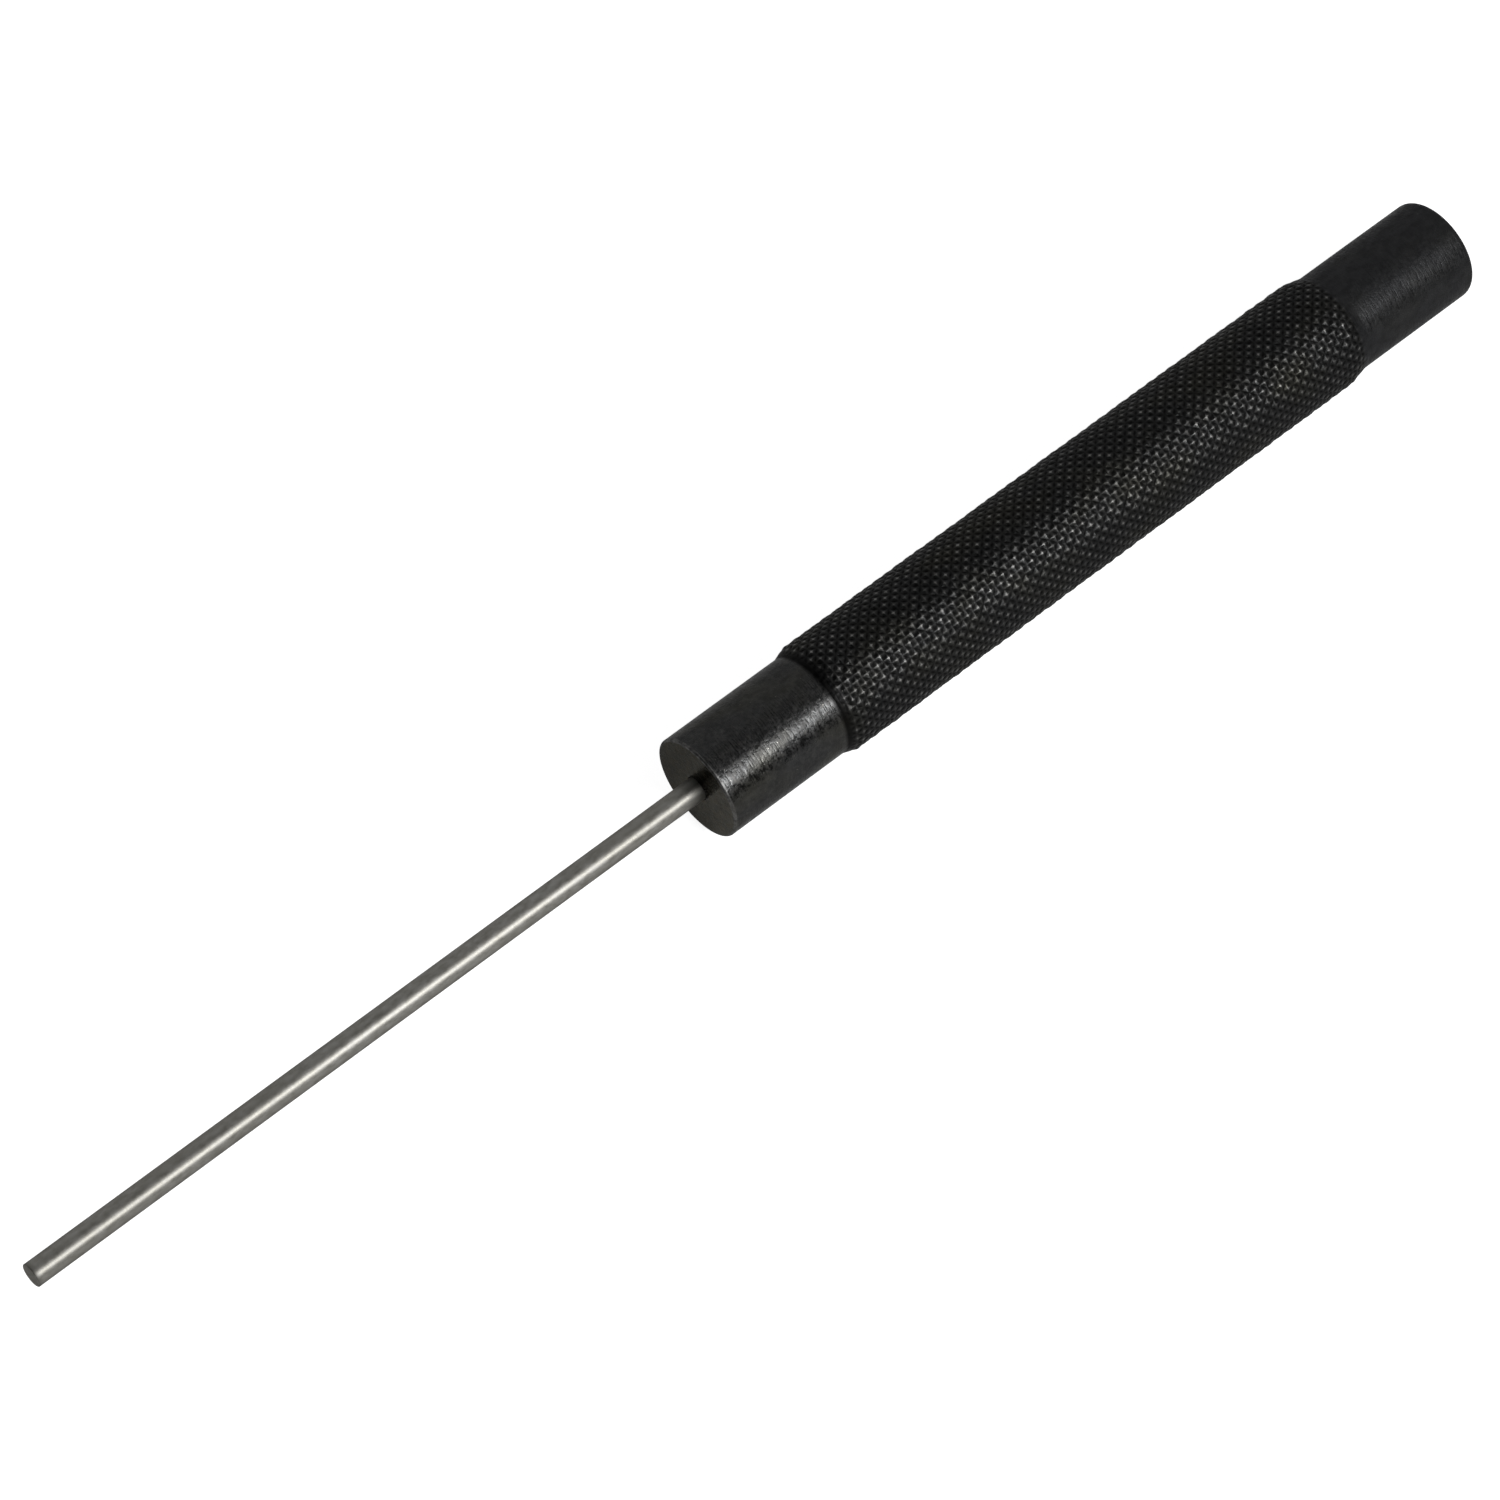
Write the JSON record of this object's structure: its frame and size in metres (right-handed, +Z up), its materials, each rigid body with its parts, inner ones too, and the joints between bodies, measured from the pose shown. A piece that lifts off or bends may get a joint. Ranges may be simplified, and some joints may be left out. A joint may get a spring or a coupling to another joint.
{
  "type": "pin punch",
  "caption": "Long pin punch: a slender straight steel pin pressed into a blackened round handle with a diamond-knurled grip between plain lands.",
  "frame": {"origin": "centre of the flat working end of the pin", "axes": "+X along the tool from the working end to the striking face, +Z up as the tool lies on a bench"},
  "size_m": [0.18, 0.0122, 0.0122],
  "materials": {
    "black_oxide_steel": "turned and knurled steel, blackened and lightly oiled",
    "ground_steel": "bare ground tool steel with a faint grey-brown mottle"
  },
  "bodies": {
    "root": {"handle": "black_oxide_steel", "pin": "ground_steel"}
  },
  "joints": []
}
